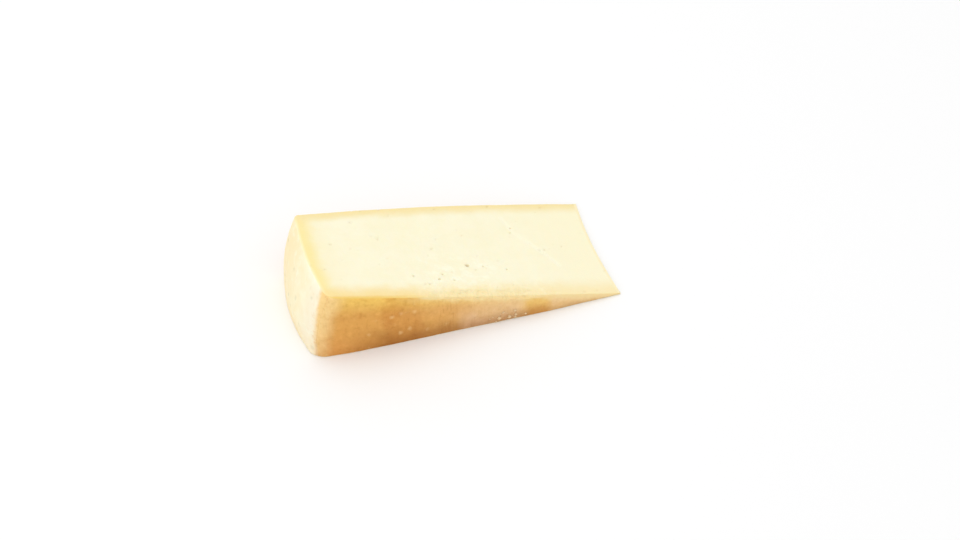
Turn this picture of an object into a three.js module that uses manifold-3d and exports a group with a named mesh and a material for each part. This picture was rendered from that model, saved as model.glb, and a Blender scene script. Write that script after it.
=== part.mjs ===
// A wedge of table cheese lying on one of its two cut faces.
//
// The cheese is made as a low round wheel, and the wedge is cut from it with two
// straight knife cuts that meet near the wheel's centre. The wheel's axis lies along Y
// here, so the wedge rests on the first cut (z = 0), the second cut slopes up from the
// thin tip at +X to the heel at -X, the two rind faces stand at -Y and +Y, and the
// rounded side of the wheel is the heel. It is one piece: the rind is the dried outside
// of the same paste.
//
// Units are millimetres, +Z is up, and the origin is the centre of the resting face's box.

import * as THREE from "three";
import { mergeVertices } from "three/addons/utils/BufferGeometryUtils.js";
import Module from "manifold-3d";

// The wheel.
const WHEEL_HEIGHT = 78.5; // between its two flat faces, along Y
const WHEEL_RADIUS = 168; // at the fullest part of its side
const HEEL_EDGE_RADIUS = 163.2; // where the side turns into the two rim edges
const FAR_FACE_DOME = 7.3; // the far face falls away this much towards its rim
const NEAR_FACE_FALL = 0.6; // the near face is nearly flat, and falls only this much
const RIM_EDGE = 6; // how far the rim edges are rounded, along the faces and the side
const WHEEL_SEGMENTS = 240;
const TIP_SEGMENTS = 12;

// The two cuts.
const WEDGE_ANGLE = 13.7; // degrees between the cut faces
const TIP_THICKNESS = 0.9; // left standing at the thin edge
const TIP_PAST_CENTRE = 9.5; // the tip lies this far past the wheel's axis, along X
const TIP_SKEW = 1.2; // its near end falls this much short of its far end
const TIP_BOW = 2.4; // and its middle is hollowed this much
const CUT_ABOVE_CENTRE = 19.2; // and the resting cut this far above it, along Z

const HALF_HEIGHT = WHEEL_HEIGHT / 2;
const HEEL_REACH = Math.sqrt(WHEEL_RADIUS ** 2 - CUT_ABOVE_CENTRE ** 2);
const WEDGE_LENGTH = HEEL_REACH + TIP_PAST_CENTRE;
const TIP_X = WEDGE_LENGTH / 2;

const wasm = await Module();
wasm.setup();

/** A closed three.js geometry as a solid that can be cut. */
function toSolid(geometry) {
  const bare = geometry.clone();
  bare.deleteAttribute("normal");
  bare.deleteAttribute("uv");
  const welded = mergeVertices(bare, 1e-4);
  return new wasm.Manifold(
    new wasm.Mesh({
      numProp: 3,
      vertProperties: new Float32Array(welded.attributes.position.array),
      triVerts: new Uint32Array(welded.index.array),
    }),
  );
}

/** A cut solid as a three.js geometry again. */
function toGeometry(solid) {
  const mesh = solid.getMesh();
  const geometry = new THREE.BufferGeometry();
  geometry.setAttribute("position", new THREE.BufferAttribute(mesh.vertProperties, 3));
  geometry.setIndex(new THREE.BufferAttribute(mesh.triVerts, 1));
  geometry.computeVertexNormals();
  return geometry;
}

/**
 * Half the wheel's cross-section, from its axis along the near face, round the side and
 * back along the far face: x is the distance from the axis, y the place along it.
 */
function wheelProfile() {
  const nearRim = -HALF_HEIGHT + NEAR_FACE_FALL;
  const farRim = HALF_HEIGHT - FAR_FACE_DOME;
  const faceEnd = HEEL_EDGE_RADIUS - RIM_EDGE;
  // The side is a shallow curve: its control point lies as far beyond the fullest
  // radius as the ends lie inside it.
  const sideControl = 2 * WHEEL_RADIUS - HEEL_EDGE_RADIUS;
  return new THREE.Path()
    .moveTo(0, -HALF_HEIGHT)
    .lineTo(0.74 * WHEEL_RADIUS, -HALF_HEIGHT)
    .quadraticCurveTo(0.86 * WHEEL_RADIUS, -HALF_HEIGHT, faceEnd, nearRim)
    .quadraticCurveTo(HEEL_EDGE_RADIUS - 1, nearRim + 0.4, HEEL_EDGE_RADIUS, nearRim + RIM_EDGE)
    .quadraticCurveTo(sideControl, -0.1 * HALF_HEIGHT, HEEL_EDGE_RADIUS, farRim - 0.7 * RIM_EDGE)
    .quadraticCurveTo(HEEL_EDGE_RADIUS - 0.4, farRim - 0.8, faceEnd + 0.3 * RIM_EDGE, farRim)
    .quadraticCurveTo(0.6 * WHEEL_RADIUS, HALF_HEIGHT, 0.18 * WHEEL_RADIUS, HALF_HEIGHT)
    .lineTo(0, HALF_HEIGHT)
    .getPoints(9);
}

/** The whole wheel, standing on its side with its axis along Y. */
function cheeseWheel() {
  const wheel = new THREE.LatheGeometry(wheelProfile(), WHEEL_SEGMENTS);
  wheel.translate(TIP_X - TIP_PAST_CENTRE, 0, -CUT_ABOVE_CENTRE);
  return toSolid(wheel);
}

/** What the two knife cuts keep: a long wedge with a blunt tip, wider than the wheel. */
function knifeCuts() {
  const reach = WEDGE_LENGTH * 1.2;
  const rise = reach * Math.tan(THREE.MathUtils.degToRad(WEDGE_ANGLE));
  const between = new THREE.Shape()
    .moveTo(TIP_X, 0)
    .lineTo(TIP_X, TIP_THICKNESS)
    .lineTo(TIP_X - reach, TIP_THICKNESS + rise)
    .lineTo(TIP_X - reach, 0)
    .closePath();
  const cuts = new THREE.ExtrudeGeometry(between, {
    depth: WHEEL_HEIGHT * 1.5,
    bevelEnabled: false,
  });
  // The shape is drawn in X and Z, so the extrusion is turned to run along Y.
  cuts.rotateX(Math.PI / 2);
  cuts.translate(0, WHEEL_HEIGHT * 0.75, 0);
  return toSolid(cuts);
}

/** What is trimmed off the tip, so that its edge is slightly skewed and hollow. */
function tipTrim() {
  const clear = WHEEL_HEIGHT;
  const edge = new THREE.Shape()
    .moveTo(TIP_X - TIP_SKEW, -clear)
    .lineTo(TIP_X - TIP_SKEW, -HALF_HEIGHT)
    .quadraticCurveTo(TIP_X - TIP_SKEW / 2 - 2 * TIP_BOW, 0, TIP_X, HALF_HEIGHT)
    .lineTo(TIP_X, clear)
    .lineTo(TIP_X + clear, clear)
    .lineTo(TIP_X + clear, -clear)
    .closePath();
  const trim = new THREE.ExtrudeGeometry(edge, {
    depth: 2 * clear,
    bevelEnabled: false,
    curveSegments: TIP_SEGMENTS,
  });
  trim.translate(0, 0, -clear);
  return toSolid(trim);
}

const cheese = new THREE.MeshStandardMaterial({
  color: "#f6e3b0",
  roughness: 0.55,
  metalness: 0,
});

const cutCheese = cheeseWheel().intersect(knifeCuts()).subtract(tipTrim());
const wedge = new THREE.Mesh(toGeometry(cutCheese), cheese);
wedge.name = "cheese_wedge";

const part = new THREE.Group();
part.add(wedge);

export default part;
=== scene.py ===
"""A wedge of semi-hard table cheese, lying on its lower cut face on a white floor."""

import math

import bmesh
import bpy
import numpy as np
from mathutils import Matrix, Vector


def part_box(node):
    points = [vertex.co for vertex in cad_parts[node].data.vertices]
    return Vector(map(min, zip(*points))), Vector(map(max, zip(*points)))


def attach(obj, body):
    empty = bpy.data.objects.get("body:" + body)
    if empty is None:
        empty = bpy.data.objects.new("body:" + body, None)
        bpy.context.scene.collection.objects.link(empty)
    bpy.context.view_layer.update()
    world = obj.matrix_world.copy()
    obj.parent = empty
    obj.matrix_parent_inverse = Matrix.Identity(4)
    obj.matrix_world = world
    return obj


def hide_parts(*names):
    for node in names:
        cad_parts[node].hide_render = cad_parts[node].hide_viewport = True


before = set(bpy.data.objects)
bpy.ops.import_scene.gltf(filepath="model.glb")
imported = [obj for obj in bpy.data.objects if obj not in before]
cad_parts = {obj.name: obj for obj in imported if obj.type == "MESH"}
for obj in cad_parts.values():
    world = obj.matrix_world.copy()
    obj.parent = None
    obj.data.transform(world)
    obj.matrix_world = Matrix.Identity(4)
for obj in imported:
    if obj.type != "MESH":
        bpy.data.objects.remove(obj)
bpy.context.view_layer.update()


# --- Camera -------------------------------------------------------------------------
# A long lens on a tripod, looking down at the wedge from beyond its near rind face.
# It is turned a little towards the heel, and leaves white space all round.
LENS_MM = 112.5
SENSOR_MM = 36.0
CAMERA_DISTANCE = 1.642
CAMERA_TURN = math.radians(17.57)
CAMERA_RISE = math.radians(41.57)
AIM_POINT = Vector((0.0202, 0.0028, 0.0))


def add_camera():
    away = Vector((
        -math.sin(CAMERA_TURN) * math.cos(CAMERA_RISE),
        -math.cos(CAMERA_TURN) * math.cos(CAMERA_RISE),
        math.sin(CAMERA_RISE),
    ))
    lens = bpy.data.cameras.new("camera")
    lens.lens = LENS_MM
    lens.sensor_width = SENSOR_MM
    lens.clip_end = 20
    camera = bpy.data.objects.new("camera", lens)
    camera.location = AIM_POINT + away * CAMERA_DISTANCE
    camera.rotation_euler = away.to_track_quat("Z", "Y").to_euler()
    bpy.context.scene.collection.objects.link(camera)
    bpy.context.scene.camera = camera


add_camera()


# --- The wedge ----------------------------------------------------------------------
# One piece of cheese, sliced from a low round wheel with two knife cuts that meet near
# the wheel's centre. Its sides and heel are the wheel's own rind, the dried outside of
# the same paste, and the two cut faces and the thin tip are bare paste.
low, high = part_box("cheese_wedge")
LENGTH = high.x - low.x
WIDTH = high.y - low.y
TIP_HEIGHT = 0.0009
SLOPE = math.tan(math.radians(13.7))

# The wheel that the wedge was cut from, with its axis along Y.
WHEEL_RADIUS = 0.1688
AXIS_X = high.x - 0.0095
AXIS_Z = -0.0192
SIDE_BULGE = (0.0056, 0.0036)  # at the foot and at the upper cut
SIDE_BULGE_Y = -0.007  # where the rim stands out most
# Both faces of the wheel fall away towards its rim. Where each starts to fall, and how far
# it runs from there, are shares of the wheel's radius.
NEAR_FALL = 0.0006
NEAR_FALL_START = 0.72
FAR_FALL = 0.0073
FAR_FALL_START = 0.18
FAR_FALL_RUN = 0.78
# The near face leans out at its foot where the wedge is thick, short of the rim. The soft
# heel is tucked in a little at its foot and swells halfway up, and the tip's edge is skewed
# and hollow.
NEAR_FLARE = 0.0012
FLARE_THICK = 0.012
FLARE_REACH = (0.85, 1.0)
HEEL_SWELL = 0.0012
HEEL_FOOT = 0.0006
TIP_SKEW = 0.0012
TIP_BOW = 0.0024

# How finely it is modelled, and how far its edges are rounded.
CELL = 0.00086
BEND_PASSES = 4
EDGE_ROUND = 0.0008
TIP_ROUND = 0.45  # as a share of the wedge's thickness there
NEAR_RIM_ROUND = (0.0075, 0.0065)  # at the foot and at the upper cut
FAR_RIM_ROUND = (0.0050, 0.0028)

# Small eyes in the upper cut face: where along the wedge, where across it, and radius.
EYES = [
    (0.0080, -0.0135, 0.0011),
    (-0.0030, -0.0255, 0.0008),
    (-0.0080, -0.0205, 0.0007),
    (-0.0110, -0.0245, 0.0008),
    (0.0165, -0.0145, 0.0007),
    (0.0290, -0.0175, 0.0007),
    (-0.0245, -0.0215, 0.0007),
    (-0.0175, -0.0285, 0.0007),
    (0.0425, 0.0180, 0.0007),
    (0.0410, 0.0140, 0.0007),
]
# An eye's depth, as a share of the deepest, is the first of these plus its radius over the
# second, and at most 1.
LEAST_EYE_DEPTH = 0.15
FULL_EYE_RADIUS = 0.0014
# A hairline crack in the same face, from the far edge towards the tip.
CRACK = [(0.0395, 0.0270), (0.0425, 0.0145), (0.0555, -0.0060), (0.0600, -0.0150)]
CRACK_DEPTH = 0.00018

# The near top edge crumbled under the knife between these two places along the wedge. The
# damage reaches further over the paste than down the rind.
CRUMBLED = (-0.040, 0.060)
CRUMBLED_FADE = 0.03
CRUMBLE_REACH = 0.015
CRUMBLE_DOWN = 2.2
OUT_OF_NEAR_EDGE = (0.0, -0.7, 0.7)
# Crumbs of paste cling low on the near rind, between these two places.
CRUMBS = (0.018, 0.036)
CRUMB_GAP = 0.0012
CRUMBS_FADE = 0.01
CRUMBS_ABOVE = 0.0006
CRUMBS_BELOW = (0.004, 0.007)

# The paste, from the cream middle out to the yellow bands under the rind.
PASTE_TONES = {
    "cream": "F6EFCD",
    "pale cream": "F8F2D6",
    "towards the tip": "F8F0CE",
    "broken grains": "FBF8E0",
    "flecks": "FBFAE2",
    "towards the heel": "F6E7B4",
    "heel band": "F6E5A2",
    # The heel edge tone is a painted highlight along the rounded edge over the heel.
    "heel edge": "F7EFCC",
    "far band": "F2DFA4",
    "near band": "F4DB98",
    "near edge": "EECB74",
    "crack": "FCF6DC",
    "tip": "FBEBC0",
    "crumbs": "E2BE90",
}
# The side rinds. The foot is browner away from the heel, and the rinds pale towards the tip.
# Their browner foot and yellower top are partly the rinds' own colour and partly painted shade
# towards the floor.
RIND_TONES = {
    "foot near the heel": "DC9C4E",
    "foot": "B57A32",
    "middle": "E0A552",
    "under the cut": "F1C662",
    "pale": "F3D39C",
    "dusty": "E4C09A",
    "golden foot": "D79C4C",
    "golden": "EFC468",
    "rim foot": "E7BE7F",
    "rim": "F3D190",
    "dots": "F5D798",
}
HEEL_TONES = {
    "cream": "F4E7BF",
    "pale cream": "F5EECE",
    # The tone under the cut is a painted highlight along the heel's rounded top edge.
    "under the cut": "F7F2D6",
    "foot": "F3DDB0",
    "far half": "F5E1B0",
    "near half": "F4E8D4",
    "specks": "BEB78C",
    "bloom": "FAF6E0",
    "rubbed": "DDB070",
}
# Paste laid bare below the broken near edge, and painted shade for the insides of eyes and pits.
HOLLOW_TONES = {
    "laid bare": "F4DCA2",
    "eyes": "B58F4E",
    "pits": "C79F5C",
}
DOTS_PER_METRE = 130.0
SPECKS_PER_METRE = 145.0


def smooth(value, start, end):
    """0 below start, 1 above end, and a smooth rise between them."""
    t = np.clip((value - start) / (end - start), 0, 1)
    return t * t * (3 - 2 * t)


def fade(value, start, end):
    """1 below start, 0 above end, and a smooth fall between them."""
    return smooth(-value, -end, -start)


def steps(length):
    """Places from 0 to length: close together at both ends, inside the rounded edges."""
    ends = EDGE_ROUND * np.array([0, 0.25, 0.5, 0.75])
    count = round((length - 2 * EDGE_ROUND) / CELL)
    middle = np.linspace(EDGE_ROUND, length - EDGE_ROUND, count + 1)
    return np.concatenate([ends, middle, length - ends[::-1]])


def box_skin(along, across, up):
    """The grid points on the skin of a box, as three index arrays, and its quads."""
    on_skin = np.zeros((along, across, up), bool)
    on_skin[[0, -1]] = True
    on_skin[:, [0, -1]] = True
    on_skin[:, :, [0, -1]] = True
    number = np.full(on_skin.shape, -1)
    number[on_skin] = np.arange(on_skin.sum())
    sheets = [
        (number[0], True),
        (number[-1], False),
        (number[:, 0], False),
        (number[:, -1], True),
        (number[:, :, 0], True),
        (number[:, :, -1], False),
    ]
    quads = []
    for ids, turned in sheets:
        corners = [ids[:-1, :-1], ids[1:, :-1], ids[1:, 1:], ids[:-1, 1:]]
        quads.append(np.stack(corners[::-1] if turned else corners, -1).reshape(-1, 4))
    return np.nonzero(on_skin), np.concatenate(quads)


def round_off(offset):
    """Pulls square corners in to round ones: offset is measured from the inner box."""
    longest = np.abs(offset).max(0)
    size = np.sqrt((offset**2).sum(0))
    return offset * longest / np.maximum(size, 1e-9)


def wedge_mesh():
    along, across, up = steps(LENGTH), steps(WIDTH), steps(high.z) / high.z
    (i, j, k), quads = box_skin(len(along), len(across), len(up))
    thick = TIP_HEIGHT + (LENGTH - along[i]) * SLOPE
    place = np.array([along[i], across[j], up[k] * thick])

    # The cut edges are rounded a little, and the thin tip as far as it can be.
    edge = np.minimum(EDGE_ROUND, TIP_ROUND * thick)
    size = np.array([np.full(len(thick), LENGTH), np.full(len(thick), WIDTH), thick])
    inner = np.clip(place, edge, size - edge)
    offset = place - inner
    facing = offset / np.maximum(np.sqrt((offset**2).sum(0)), 1e-9)
    at_tip = place[0] > LENGTH / 2
    cut = facing[2] ** 2 + np.where(at_tip, facing[0] ** 2, 0)
    place = inner + round_off(offset)
    share = place[2] / thick

    # The two corners of the wheel's rim are rounded more, seen from above.
    plan = place[:2]
    for side, (at_foot, at_cut) in ((0, NEAR_RIM_ROUND), (WIDTH, FAR_RIM_ROUND)):
        radius = at_foot + (at_cut - at_foot) * share
        centre = np.array([radius, abs(side - radius)])
        offset = plan - centre
        outwards = np.sign(side - radius)
        in_corner = (offset[0] < 0) & (offset[1] * outwards > 0)
        plan = np.where(in_corner, centre + round_off(offset), plan)

    # The box is bent on to the wheel: domed faces, bulging side, slanting cut. Each of x, y
    # and z depends on the others, so it takes a few passes.
    x = low.x + plan[0]
    flare_share = smooth(thick, 0, FLARE_THICK)
    for _ in range(BEND_PASSES):
        z = share * (TIP_HEIGHT + (high.x - x) * SLOPE)
        reach = np.sqrt((x - AXIS_X) ** 2 + (z - AXIS_Z) ** 2) / WHEEL_RADIUS
        near = low.y + NEAR_FALL * smooth(reach, NEAR_FALL_START, 1.0)
        near -= NEAR_FLARE * (1 - share) * (flare_share * fade(reach, *FLARE_REACH))
        fallen = np.clip((reach - FAR_FALL_START) / FAR_FALL_RUN, 0, 1)
        far = high.y - FAR_FALL * fallen**2
        y = near + plan[1] / WIDTH * (far - near)
        most = SIDE_BULGE[0] + (SIDE_BULGE[1] - SIDE_BULGE[0]) * share
        bulge = most * ((y - SIDE_BULGE_Y) / (WIDTH / 2)) ** 2
        heel = AXIS_X - np.sqrt((WHEEL_RADIUS - bulge) ** 2 - (z - AXIS_Z) ** 2)
        heel += HEEL_FOOT * (1 - share) - HEEL_SWELL * 4 * share * (1 - share)
        middle = 2 * plan[1] / WIDTH - 1
        tip = high.x - TIP_SKEW * (1 - middle) / 2 - TIP_BOW * (1 - middle**2)
        x = heel + plan[0] / LENGTH * (tip - heel)

    mesh = bpy.data.meshes.new("cheese")
    mesh.from_pydata(np.stack([x, y, z], -1).tolist(), [], quads.tolist())
    keep_measure(mesh, "cut", cut)
    keep_measure(mesh, "from_heel", plan[0])
    keep_measure(mesh, "from_tip", LENGTH - plan[0])
    keep_measure(mesh, "from_near", plan[1])
    keep_measure(mesh, "from_far", WIDTH - plan[1])
    keep_measure(mesh, "below_cut", (1 - share) * thick)
    return mesh


def keep_measure(mesh, name, values):
    """Keeps one number for each point of a mesh, under a name that nodes can read."""
    layer = mesh.attributes.new(name, "FLOAT", "POINT")
    layer.data.foreach_set("value", values.astype(np.float32))


def read_measure(mesh, name):
    values = np.zeros(len(mesh.vertices), np.float32)
    mesh.attributes[name].data.foreach_get("value", values)
    return values


def point_places(mesh):
    places = np.zeros(len(mesh.vertices) * 3, np.float32)
    mesh.vertices.foreach_get("co", places)
    return places.reshape(-1, 3).T


def eye_field(mesh):
    """Up to 1 in the middle of each eye, less in a small one, and 0 outside them."""
    x, y, _ = point_places(mesh)
    upper = read_measure(mesh, "below_cut") < 0.5 * EDGE_ROUND
    upper &= read_measure(mesh, "cut") > 0.9
    field = np.zeros(len(x))
    for eye_x, eye_y, radius in EYES:
        away = np.hypot(x - eye_x, y - eye_y) / radius
        strength = min(1, LEAST_EYE_DEPTH + radius / FULL_EYE_RADIUS)
        field = np.maximum(field, upper * (1 - away / 2) * strength)
    return field


def crack_field(mesh):
    """How far each point of the upper cut face is from the crack's line."""
    x, y, _ = point_places(mesh)
    nearest = np.full(len(x), 1.0)
    for (x0, y0), (x1, y1) in zip(CRACK, CRACK[1:]):
        run_x, run_y = x1 - x0, y1 - y0
        t = np.clip(((x - x0) * run_x + (y - y0) * run_y) / (run_x**2 + run_y**2), 0, 1)
        nearest = np.minimum(nearest, np.hypot(x - x0 - t * run_x, y - y0 - t * run_y))
    upper = read_measure(mesh, "below_cut") < 0.5 * EDGE_ROUND
    return np.where(upper, nearest, 1.0)


def crumble_field(mesh):
    """1 along the broken stretch of the near top edge, falling to 0 away from it."""
    x, _, _ = point_places(mesh)
    down = CRUMBLE_DOWN * read_measure(mesh, "below_cut")
    from_edge = np.hypot(read_measure(mesh, "from_near"), down)
    heel_end, tip_end = CRUMBLED
    window = smooth(x, heel_end, heel_end + CRUMBLED_FADE)
    window *= fade(x, tip_end - CRUMBLED_FADE, tip_end)
    return window * fade(from_edge, 0, CRUMBLE_REACH)


def crumb_field(mesh):
    """Where crumbs cling: low on the near rind, over part of its length."""
    x, _, z = point_places(mesh)
    heel_end, tip_end = CRUMBS
    window = smooth(x, heel_end - CRUMBS_FADE, heel_end)
    window *= fade(x, tip_end - CRUMBS_FADE, tip_end)
    near_rind = read_measure(mesh, "from_near") < 0.5 * EDGE_ROUND
    return window * near_rind * (z > CRUMBS_ABOVE) * fade(z, *CRUMBS_BELOW)


def refine(mesh, wanted, cuts):
    """Splits the quads whose points are all wanted into smaller ones."""
    fine = bmesh.new()
    fine.from_mesh(mesh)
    edges = [e for e in fine.edges if wanted[e.verts[0].index] and wanted[e.verts[1].index]]
    bmesh.ops.subdivide_edges(fine, edges=edges, cuts=cuts, use_grid_fill=True)
    fine.to_mesh(mesh)
    fine.free()


class Wire:
    """An output in a node tree. Arithmetic on wires adds Math nodes to that tree."""

    def __init__(self, tree, socket=None):
        self.tree = tree
        self.socket = socket

    def add(self, kind, inputs=None, output=0, **settings):
        """Adds a node: its settings, then a value or a wire for each of its inputs.

        An input goes by its name, or by its number where several have the same name.
        """
        node = self.tree.nodes.new(kind)
        for name, value in settings.items():
            setattr(node, name, value)
        for name, value in (inputs or {}).items():
            if isinstance(value, Wire):
                self.tree.links.new(value.socket, node.inputs[name])
            else:
                node.inputs[name].default_value = value
        return Wire(self.tree, node.outputs[output])

    def maths(self, operation, *values):
        return self.add("ShaderNodeMath", dict(enumerate(values)), operation=operation)

    def __add__(self, other):
        return self.maths("ADD", self, other)

    def __radd__(self, other):
        return self.maths("ADD", other, self)

    def __sub__(self, other):
        return self.maths("SUBTRACT", self, other)

    def __rsub__(self, other):
        return self.maths("SUBTRACT", other, self)

    def __mul__(self, other):
        return self.maths("MULTIPLY", self, other)

    def __rmul__(self, other):
        return self.maths("MULTIPLY", other, self)

    def __truediv__(self, other):
        return self.maths("DIVIDE", self, other)

    def least(self, other):
        return self.maths("MINIMUM", self, other)

    def most(self, other):
        return self.maths("MAXIMUM", self, other)

    def rise(self, start, end):
        """0 where the wire is below start, 1 above end, smooth between them."""
        ends = {"Value": self, "From Min": start, "From Max": end}
        return self.add("ShaderNodeMapRange", ends, interpolation_type="SMOOTHSTEP")

    def fall(self, start, end):
        return 1 - self.rise(start, end)

    def mix(self, colour_at_0, colour_at_1):
        colours = {0: self, 6: colour_at_0, 7: colour_at_1}
        return self.add("ShaderNodeMix", colours, output=2, data_type="RGBA")

    def times(self, factors):
        """The place or colour on this wire with each of its numbers times its own factor."""
        return self.add("ShaderNodeVectorMath", {0: self, 1: factors}, operation="MULTIPLY")

    def scaled(self, factor):
        """The place or direction on this wire times one factor."""
        return self.add("ShaderNodeVectorMath", {0: self, 3: factor}, operation="SCALE")

    def noise(self, size, detail=2.0, roughness=0.5, stretch=None):
        """Noise about 0, from -0.5 to 0.5, whose lumps are size metres across."""
        values = {
            "Vector": self.times(stretch) if stretch else self,
            "Scale": 1 / size,
            "Detail": detail,
            "Roughness": roughness,
        }
        return self.add("ShaderNodeTexNoise", values) - 0.5

    def stored_measure(self, name):
        """A number kept on the points of the geometry that a geometry tree works on."""
        return self.add("GeometryNodeInputNamedAttribute", {"Name": name}, data_type="FLOAT")


def relief_inputs(tree):
    """Names the tree's inputs and its output, and returns a wire for each input."""
    sockets = {
        "Geometry": "NodeSocketGeometry",
        "Rind Waves": "NodeSocketFloat",
        "Paste Waves": "NodeSocketFloat",
        "Knife Marks": "NodeSocketFloat",
        "Crumbling": "NodeSocketFloat",
        "Eye Depth": "NodeSocketFloat",
        "Pits per Area": "NodeSocketFloat",
        "Pit Radius": "NodeSocketFloat",
        "Crumbs per Area": "NodeSocketFloat",
        "Crumb Radius": "NodeSocketFloat",
        "Seed": "NodeSocketInt",
        "Material": "NodeSocketMaterial",
    }
    for name, kind in sockets.items():
        tree.interface.new_socket(name, in_out="INPUT", socket_type=kind)
    tree.interface.new_socket("Geometry", in_out="OUTPUT", socket_type="NodeSocketGeometry")
    entry = tree.nodes.new("NodeGroupInput")
    return {name: Wire(tree, entry.outputs[name]) for name in sockets}


def stored(geometry, values):
    """Keeps numbers on the points of a geometry, under the names given."""
    for name, value in values.items():
        geometry = geometry.add(
            "GeometryNodeStoreNamedAttribute",
            {"Geometry": geometry, "Name": name, "Value": value},
            data_type="FLOAT",
            domain="POINT",
        )
    return geometry


def small_pits(place, given):
    """Up to 1 inside pits scattered thinly over the skin, each with its own radius."""
    spots = place.add(
        "GeometryNodeDistributePointsOnFaces",
        {"Mesh": given["Geometry"], "Density": given["Pits per Area"], "Seed": given["Seed"]},
        distribute_method="RANDOM",
    )
    # The place is wobbled by up to half of this, either way, so that no pit is round.
    wobble = 0.0011
    colour_noise = place.add("ShaderNodeTexNoise", {"Vector": place, "Scale": 700}, output=1)
    wobbled = place.add(
        "ShaderNodeVectorMath", {0: place, 1: colour_noise.scaled(wobble)}, operation="ADD"
    )
    wobbled = place.add(
        "ShaderNodeVectorMath", {0: wobbled, 1: (wobble / 2,) * 3}, operation="SUBTRACT"
    )
    nearest = place.add(
        "GeometryNodeSampleNearest", {"Geometry": spots, "Sample Position": wobbled}
    )
    spot_place = place.add(
        "GeometryNodeSampleIndex",
        {"Geometry": spots, "Value": place, "Index": nearest},
        data_type="FLOAT_VECTOR",
    )
    chance = place.add("FunctionNodeRandomValue", {2: 0.25, 3: 1.0, 8: given["Seed"]}, output=1)
    spot_size = place.add(
        "GeometryNodeSampleIndex",
        {"Geometry": spots, "Value": chance, "Index": nearest},
        data_type="FLOAT",
    )
    away = place.add(
        "ShaderNodeVectorMath", {0: wobbled, 1: spot_place}, output=1, operation="DISTANCE"
    )
    return (away / (spot_size * spot_size * given["Pit Radius"])).fall(0.35, 1.0)


def clinging_crumbs(skin, place, normal, given):
    """A few dented lumps of paste, on the points of the skin that were marked crumby."""
    rests = skin.add(
        "GeometryNodeDistributePointsOnFaces",
        {
            "Mesh": skin,
            "Density Max": given["Crumbs per Area"],
            "Density Factor": skin.stored_measure("crumby"),
            "Distance Min": CRUMB_GAP,
            "Seed": given["Seed"] + 5,
        },
        distribute_method="POISSON",
    )
    crumb = skin.add("GeometryNodeMeshIcoSphere", {"Radius": 1.0, "Subdivisions": 3})
    dent = normal.scaled(place.noise(0.9, 3, 0.6) * 1.5)
    crumb = skin.add("GeometryNodeSetPosition", {"Geometry": crumb, "Offset": dent})
    size = skin.add("FunctionNodeRandomValue", {2: 0.35, 3: 1.0, 8: 3}, output=1)
    turn = skin.add("FunctionNodeRandomValue", {0: (0, 0, 0), 1: (6.3, 6.3, 6.3), 8: 4})
    crumbs = skin.add(
        "GeometryNodeInstanceOnPoints",
        {
            "Points": rests,
            "Instance": crumb,
            "Rotation": turn,
            "Scale": size * size * given["Crumb Radius"],
        },
    )
    crumbs = skin.add("GeometryNodeRealizeInstances", {"Geometry": crumbs})
    like_paste = {
        "cut": 1.0,
        "from_heel": 0.1,
        "from_tip": 0.1,
        "from_near": 0.008,
        "from_far": 0.02,
        "crack": 1.0,
        "crumb": 1.0,
    }
    return stored(crumbs, like_paste)


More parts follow.
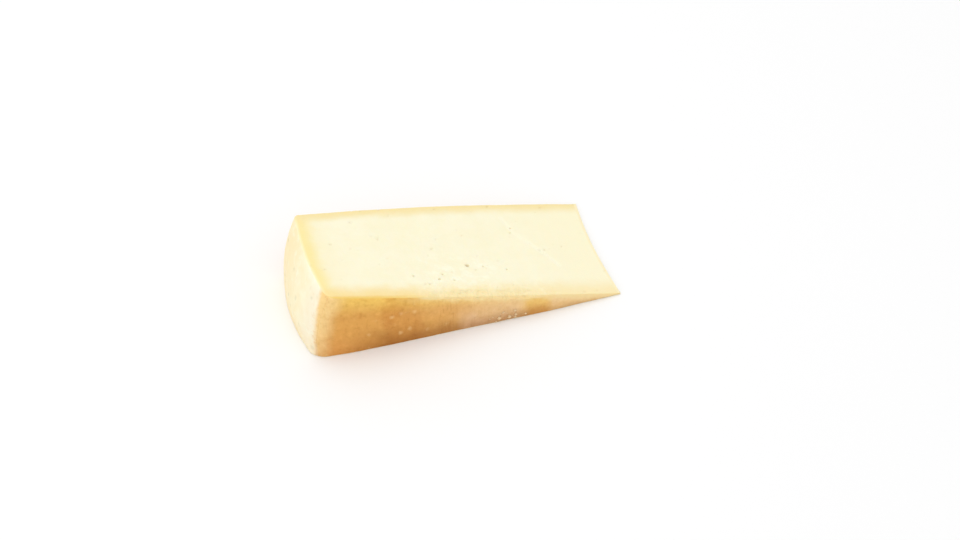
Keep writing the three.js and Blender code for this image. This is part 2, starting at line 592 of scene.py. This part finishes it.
def cheese_relief():
    """Geometry nodes for what is uneven on a cheese: waves, knife marks, pits, crumbs."""
    tree = bpy.data.node_groups.new("cheese_relief", "GeometryNodeTree")
    given = relief_inputs(tree)
    place = Wire(tree).add("GeometryNodeInputPosition")
    normal = place.add("GeometryNodeInputNormal")
    cut = place.stored_measure("cut")
    crumbled = place.stored_measure("crumbled")
    on_heel = place.stored_measure("from_heel").fall(0.0005, 0.002) * (1 - cut)

    pit = small_pits(place, given)
    eye = place.stored_measure("eye")
    hollow = (eye + place.noise(0.0012, 2) * 0.35).rise(0.25, 0.75) * eye.rise(0.0, 0.3)
    crack = place.stored_measure("crack") + place.noise(0.002, 3) * 0.0009
    crack = crack.fall(0.0001, 0.0007)
    waves = place.noise(0.03, 2) * 2 + place.noise(0.006, 3) * 0.45
    drag = place.noise(0.0022, 3, 0.6, (1, 0.05, 1)) + place.noise(0.011, 1, 0.5, (1, 0.12, 1))
    relief = (
        waves * (1 - cut) * given["Rind Waves"]
        + waves * cut * given["Paste Waves"]
        + drag * cut * given["Knife Marks"]
        - crack * CRACK_DEPTH
        - hollow * given["Eye Depth"]
        - pit * (1 - 0.7 * on_heel) * given["Pit Radius"] * 0.5
    )
    skin = place.add(
        "GeometryNodeSetPosition",
        {"Geometry": given["Geometry"], "Offset": normal.scaled(relief)},
    )

    # The near edge is broken away straight into the cheese, so that it never folds over:
    # lumps and chips are never above 0.
    lumps = place.noise(0.0050, 5, 0.66).rise(-0.16, 0.16) - 1
    chips = place.noise(0.011, 2, 0.5).rise(-0.15, 0.2) * -1
    at_edge = crumbled.rise(0.6, 1.0)
    broken = (lumps * crumbled + (chips * 0.7 - 1.1) * at_edge) * given["Crumbling"]
    inwards = place.add(
        "ShaderNodeVectorMath", {0: OUT_OF_NEAR_EDGE, 3: broken}, operation="SCALE"
    )
    skin = place.add("GeometryNodeSetPosition", {"Geometry": skin, "Offset": inwards})
    # The eye and pit masks are kept for the painted shade in these hollows.
    skin = stored(skin, {"pit": pit * (1 - 0.6 * on_heel), "hollow": hollow})

    crumbs = clinging_crumbs(skin, place, normal, given)
    joined = tree.nodes.new("GeometryNodeJoinGeometry")
    for piece in (crumbs, skin):
        tree.links.new(piece.socket, joined.inputs[0])
    whole = Wire(tree, joined.outputs[0])

    # Nothing reaches below the surface that the wedge rests on.
    height = place.add("ShaderNodeSeparateXYZ", {0: place}, output=2)
    lift = place.add("ShaderNodeCombineXYZ", {2: (height * -1).most(0)})
    whole = place.add("GeometryNodeSetPosition", {"Geometry": whole, "Offset": lift})
    whole = place.add("GeometryNodeSetShadeSmooth", {0: whole})
    whole = place.add("GeometryNodeRealizeInstances", {"Geometry": whole})
    whole = place.add(
        "GeometryNodeSetMaterial", {"Geometry": whole, "Material": given["Material"]}
    )
    leave = tree.nodes.new("NodeGroupOutput")
    tree.links.new(whole.socket, leave.inputs[0])
    return tree


def linear(tones):
    """Colours written as six hexadecimal digits, as the linear colours a shader takes."""
    colours = {}
    for name, digits in tones.items():
        parts = [int(digits[n : n + 2], 16) / 255 for n in (0, 2, 4)]
        colours[name] = tuple(((p + 0.055) / 1.055) ** 2.4 for p in parts) + (1.0,)
    return colours


class Skin:
    """The wires that the colours of the cheese's skin are worked out from."""

    def __init__(self, tree):
        self.place = Wire(tree).add("ShaderNodeTexCoord", output=3)
        self.along, self.across, self.height = (
            self.place.add("ShaderNodeSeparateXYZ", {0: self.place}, output=n) for n in range(3)
        )
        self.cut = self.measure("cut")
        self.crumbled = self.measure("crumbled")
        self.from_heel = self.measure("from_heel")
        self.from_near = self.measure("from_near")
        self.from_far = self.measure("from_far")
        self.below_cut = self.measure("below_cut")
        # 0 at the foot of the rind and 1 at the upper cut.
        self.share = self.height / (self.height + self.below_cut + 0.0001)
        self.patches = self.place.noise(0.03, 3)
        self.blotches = self.place.noise(0.009, 3)
        self.grain = self.place.noise(0.0022, 4, 0.6)

    def measure(self, name):
        return self.place.add("ShaderNodeAttribute", output=2, attribute_name=name)

    def stretch(self, start, end):
        """1 between two places along the wedge, with a soft ragged border."""
        ragged = self.along + self.blotches * 0.008
        return (ragged - start).rise(-0.003, 0.003) * (ragged - end).fall(-0.003, 0.003)


def paste_colour(skin):
    """Cream, warmer towards the rind, and yellow in a soft band just under it."""
    tones = linear(PASTE_TONES)
    along, across = skin.along, skin.across
    grain, blotches = skin.grain, skin.blotches

    cream = (blotches + grain * 0.6 + skin.patches).rise(-0.5, 0.5)
    paste = cream.mix(tones["cream"], tones["pale cream"])
    paste = along.rise(0.02, 0.09).mix(paste, tones["towards the tip"])
    grains = (skin.crumbled * 2).least(1) * (grain + blotches * 0.5).rise(-0.1, 0.25)
    paste = grains.mix(paste, tones["broken grains"])
    flecked = along.rise(-0.035, -0.005) * along.fall(0.010, 0.035) * across.fall(-0.014, 0.002)
    flecked = flecked * skin.place.noise(0.006, 5, 0.7).rise(-0.06, 0.2) * 0.75
    paste = flecked.mix(paste, tones["flecks"])

    tail = skin.from_heel.fall(0.004, 0.026) * 0.35
    paste = tail.mix(paste, tones["towards the heel"])
    heel_band = (skin.from_heel + blotches * 0.006).fall(0.002, 0.0125)
    paste = heel_band.mix(paste, tones["heel band"])
    # Painted highlight: a cream line along the rounded edge over the heel.
    heel_edge_highlight = skin.from_heel.fall(0.0002, 0.0022) * 0.6
    paste = heel_edge_highlight.mix(paste, tones["heel edge"])
    far_band = (skin.from_far + blotches * 0.004).fall(0.0015, 0.0105)
    paste = far_band.mix(paste, tones["far band"])
    near_band = (skin.from_near + blotches * 0.005 + skin.crumbled * 0.002).fall(0.001, 0.0145)
    near_band = near_band * (1 - along.rise(0.02, 0.07) * 0.45 - skin.crumbled * 0.25)
    paste = near_band.mix(paste, tones["near band"])
    near_edge = (skin.from_near + grain * 0.0012 + blotches * 0.001).fall(0.0006, 0.0026)
    paste = (near_edge * along.fall(-0.05, -0.015)).mix(paste, tones["near edge"])

    crack = skin.measure("crack").fall(0.0004, 0.0022) * 0.5
    paste = crack.mix(paste, tones["crack"])
    tip = skin.measure("from_tip").fall(0.0008, 0.0022)
    paste = tip.mix(paste, tones["tip"])
    return (skin.measure("crumb") * 0.9).mix(paste, tones["crumbs"])


def side_rind_colour(skin):
    """Golden, browner low down (partly its own colour, partly painted shade), and paling towards
    the middle of the wheel.
    """
    tones = linear(RIND_TONES)
    along, height, share = skin.along, skin.height, skin.share
    patches, blotches, grain = skin.patches, skin.blotches, skin.grain

    # Browner towards the floor and yellower under the cut: partly the rind's own colour, partly
    # painted shade.
    foot = (skin.from_heel + patches * 0.03).rise(0.008, 0.042)
    foot = foot.mix(tones["foot near the heel"], tones["foot"])
    middle = (share + patches * 0.45 + blotches * 0.25).rise(-0.02, 0.5)
    rind = middle.mix(foot, tones["middle"])
    rind = (share + patches * 0.2).rise(0.6, 1.0).mix(rind, tones["under the cut"])
    rind = (blotches + grain * 0.5).rise(0.02, 0.3).mix(rind, rind.times((0.92, 0.88, 0.84)))
    rind = (patches * 1.4 + blotches).rise(0.1, 0.4).mix(rind, rind.times((0.97, 0.9, 0.8)))

    # Some stretches of the rind are browner, paler, dusty or golden.
    rind = skin.stretch(-0.046, -0.026).mix(rind, rind.times((0.94, 0.88, 0.82)))
    pale = (along + patches * 0.05).rise(-0.04, 0.05)
    rind = (pale * (0.5 + 0.5 * share)).mix(rind, tones["pale"])
    dusty = skin.stretch(-0.004, 0.028) * share.fall(0.3, 0.8)
    rind = (dusty * (0.45 + blotches)).mix(rind, tones["dusty"])
    # The golden stretch is browner at its foot too: partly its own colour, partly painted shade.
    golden = share.rise(0.0, 0.8).mix(tones["golden foot"], tones["golden"])
    rind = (skin.stretch(0.032, 0.0465) * 0.85).mix(rind, golden)
    at_rim = (skin.from_heel + blotches * 0.006 + (1 - share) * 0.003).fall(0.003, 0.0145)
    # So is the rim: browner at its foot, partly painted shade.
    rim = height.rise(0.0, 0.018).mix(tones["rim foot"], tones["rim"])
    rind = (at_rim * 0.88).mix(rind, rim)

    # Pale dots, dark upright streaks, a fine mottle, and painted contact shade along the foot.
    face = skin.place.times((1, 0, 1))
    cells = {"Vector": face, "Scale": DOTS_PER_METRE}
    dots = (face.add("ShaderNodeTexVoronoi", cells) + grain * 0.3).fall(0.0, 0.26)
    dots = dots * face.add("ShaderNodeTexVoronoi", cells, output=1).rise(0.2, 0.6)
    rind = (dots * 0.42).mix(rind, tones["dots"])
    streaked = skin.place.noise(0.012, 1).rise(0.02, 0.12) * 0.3
    streaked = streaked.most(skin.stretch(-0.016, -0.006) * 0.75)
    streaks = face.noise(0.0011, 2, 0.5, (1, 1, 0.12)).rise(0.02, 0.2) * streaked
    rind = streaks.mix(rind, rind.times((0.85, 0.76, 0.64)))
    mottle = skin.place.noise(0.0032, 3, 0.65)
    rind = mottle.rise(0.0, 0.25).mix(rind, rind.times((0.9, 0.85, 0.76)))
    rind = mottle.fall(-0.25, 0.0).mix(rind, rind.times((1.07, 1.11, 1.2)))
    # Painted contact shade, deepest at the floor, all along the rind.
    painted_contact_shade = (height + grain * 0.002).fall(0.0, 0.006) * 0.55
    rind = painted_contact_shade.mix(rind, rind.times((0.88, 0.8, 0.72)))
    # More painted contact shade at the foot, over part of the length.
    painted_foot_shade = height.fall(0.001, 0.009) * along.rise(-0.008, 0.004) * along.fall(0.03, 0.055)
    return painted_foot_shade.mix(rind, rind.times((0.85, 0.77, 0.7)))


def heel_colour(skin):
    """Pale cream with fine specks and a faint bloom, warmer at the foot, with a painted highlight
    just under the cut.
    """
    tones = linear(HEEL_TONES)
    across, height, below_cut = skin.across, skin.height, skin.below_cut
    patches, blotches, grain = skin.patches, skin.blotches, skin.grain

    heel = (patches + blotches).rise(-0.3, 0.3).mix(tones["cream"], tones["pale cream"])
    # Painted highlight: paler just under the upper cut, where the rounded edge catches the light.
    heel = (below_cut + blotches * 0.004).fall(0.0, 0.008).mix(heel, tones["under the cut"])
    heel = (height + blotches * 0.006).fall(0.0, 0.012).mix(heel, tones["foot"])
    far_half = (across + blotches * 0.01).rise(-0.024, 0.022)
    heel = (far_half * 0.85).mix(heel, tones["far half"])
    near_half = (across + blotches * 0.01).fall(-0.03, -0.012)
    heel = (near_half * 0.45).mix(heel, tones["near half"])
    cells = {"Vector": skin.place, "Scale": SPECKS_PER_METRE}
    specks = skin.place.add("ShaderNodeTexVoronoi", cells)
    specks = (specks + grain * 0.5 + blotches * 0.4).fall(-0.05, 0.3)
    heel = (specks * 0.36).mix(heel, tones["specks"])
    bloom = skin.place.noise(0.005, 4, 0.6)
    heel = (bloom.rise(0.0, 0.25) * 0.6).mix(heel, heel.times((0.97, 0.95, 0.88)))
    heel = (bloom.fall(-0.25, 0.0) * 0.45).mix(heel, tones["bloom"])
    rubbed = (skin.from_near - skin.from_heel + blotches * 0.006).fall(0.0, 0.014)
    rubbed = rubbed * (grain + blotches * 0.6).rise(0.05, 0.25)
    return (rubbed * 0.55).mix(heel, tones["rubbed"])


def cheese_finish():
    """Paste on the cut faces, golden side rinds, and a pale heel between them."""
    material = bpy.data.materials.new("cheese_surface")
    material.use_nodes = True
    tree = material.node_tree
    shader = tree.nodes["Principled BSDF"]
    tones = linear(HOLLOW_TONES)
    skin = Skin(tree)
    grain, blotches = skin.grain, skin.blotches

    past_rim = skin.from_heel + grain * 0.002 + blotches * 0.002
    past_near_rim = past_rim - skin.from_near + skin.share * skin.share * 0.0075
    past_rim = past_near_rim.most(past_rim - skin.from_far)
    rind = past_rim.rise(-0.0034, 0.0016).mix(heel_colour(skin), side_rind_colour(skin))

    # Where the near edge broke, paste shows for a few millimetres below it.
    laid_bare = (skin.below_cut + blotches * 0.006 + grain * 0.003).fall(0.0005, 0.0055)
    laid_bare = laid_bare * skin.along.rise(-0.045, 0.0) * 0.85
    broken = skin.below_cut.fall(0.001, 0.0032) * skin.crumbled.rise(0.2, 0.6)
    laid_bare = laid_bare.most(broken) * skin.from_near.fall(0.0004, 0.002)
    rind = laid_bare.mix(rind, tones["laid bare"])
    colour = (skin.cut + grain * 0.3).rise(0.15, 0.5).mix(rind, paste_colour(skin))
    # Painted shade inside the eyes and pits, where the hollows fall into shadow.
    colour = (skin.measure("hollow") * 0.45).mix(colour, tones["eyes"])
    colour = (skin.measure("pit") * 0.3).mix(colour, tones["pits"])

    rough = 0.42 + grain * 0.15 + blotches * 0.1 + (1 - skin.cut) * 0.08
    fine = grain + skin.place.noise(0.0008, 2) * 0.4
    bump = skin.place.add("ShaderNodeBump", {"Height": fine, "Strength": 0.25, "Distance": 0.0004})
    tree.links.new(colour.socket, shader.inputs["Base Color"])
    tree.links.new(rough.socket, shader.inputs["Roughness"])
    tree.links.new(bump.socket, shader.inputs["Normal"])
    shader.inputs["Subsurface Weight"].default_value = 0.25
    shader.inputs["Subsurface Radius"].default_value = (1.0, 0.8, 0.55)
    shader.inputs["Subsurface Scale"].default_value = 0.0022
    shader.inputs["IOR"].default_value = 1.42
    shader.inputs["Specular IOR Level"].default_value = 0.35
    return material


def finished(obj, tree, values):
    """Runs a geometry nodes tree on an object and keeps the result as its plain mesh."""
    modifier = obj.modifiers.new(tree.name, "NODES")
    modifier.node_group = tree
    for item in tree.interface.items_tree:
        if item.in_out == "INPUT" and item.name in values:
            modifier[item.identifier] = values[item.name]
    graph = bpy.context.evaluated_depsgraph_get()
    mesh = bpy.data.meshes.new_from_object(obj.evaluated_get(graph))
    obj.modifiers.remove(modifier)
    # The tree leaves an empty material slot beside the cheese's own.
    if None in mesh.materials[:]:
        mesh.materials.pop(index=mesh.materials[:].index(None))
    obj.data = mesh
    mesh.name = obj.name


# The mesh is finer where the edge crumbled, and finest at the eyes and along the crack.
wedge = wedge_mesh()
refine(wedge, crumble_field(wedge) > 0.1, 1)
refine(wedge, (eye_field(wedge) > 0) | (crack_field(wedge) < 0.0008), 2)
keep_measure(wedge, "eye", eye_field(wedge))
keep_measure(wedge, "crack", crack_field(wedge))
keep_measure(wedge, "crumbled", crumble_field(wedge))
keep_measure(wedge, "crumby", crumb_field(wedge))
surface = cheese_finish()
wedge.materials.append(surface)
cheese = bpy.data.objects.new("cheese", wedge)
bpy.context.scene.collection.objects.link(cheese)
finished(
    cheese,
    cheese_relief(),
    {
        "Rind Waves": 0.0005,
        "Paste Waves": 0.0002,
        "Knife Marks": 0.00012,
        "Crumbling": 0.0009,
        "Eye Depth": 0.0011,
        "Pits per Area": 7000.0,
        "Pit Radius": 0.001,
        "Crumbs per Area": 200000.0,
        "Crumb Radius": 0.0011,
        "Seed": 7,
        "Material": surface,
    },
)
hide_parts("cheese_wedge")
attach(cheese, "root")


# --- Floor and light ----------------------------------------------------------------
# A seamless flat white floor under big soft lamps, so that shadows are faint.
def add_floor():
    mesh = bpy.data.meshes.new("floor")
    half = 3.0
    corners = [(-half, -half, 0), (half, -half, 0), (half, half, 0), (-half, half, 0)]
    mesh.from_pydata(corners, [], [(0, 1, 2, 3)])
    floor = bpy.data.objects.new("floor", mesh)
    bpy.context.scene.collection.objects.link(floor)
    white = bpy.data.materials.new("white_floor")
    white.use_nodes = True
    shader = white.node_tree.nodes["Principled BSDF"]
    shader.inputs["Base Color"].default_value = (0.92, 0.92, 0.92, 1)
    shader.inputs["Roughness"].default_value = 0.9
    mesh.materials.append(white)


def add_lamp(name, place, size, watts):
    lamp = bpy.data.lights.new(name, "AREA")
    lamp.shape = "SQUARE"
    lamp.size = size
    lamp.energy = watts
    obj = bpy.data.objects.new(name, lamp)
    obj.location = place
    obj.rotation_euler = Vector(place).to_track_quat("Z", "Y").to_euler()
    bpy.context.scene.collection.objects.link(obj)


add_floor()
add_lamp("overhead_softbox", place=(-0.3, 0.3, 1.6), size=1.6, watts=6)
add_lamp("heel_softbox", place=(-1.5, -0.5, 0.8), size=1.0, watts=3)

world = bpy.data.worlds.new("white_room")
world.use_nodes = True
world.node_tree.nodes["Background"].inputs["Color"].default_value = (1, 1, 1, 1)
world.node_tree.nodes["Background"].inputs["Strength"].default_value = 0.9
bpy.context.scene.world = world
bpy.context.scene.view_settings.view_transform = "Standard"
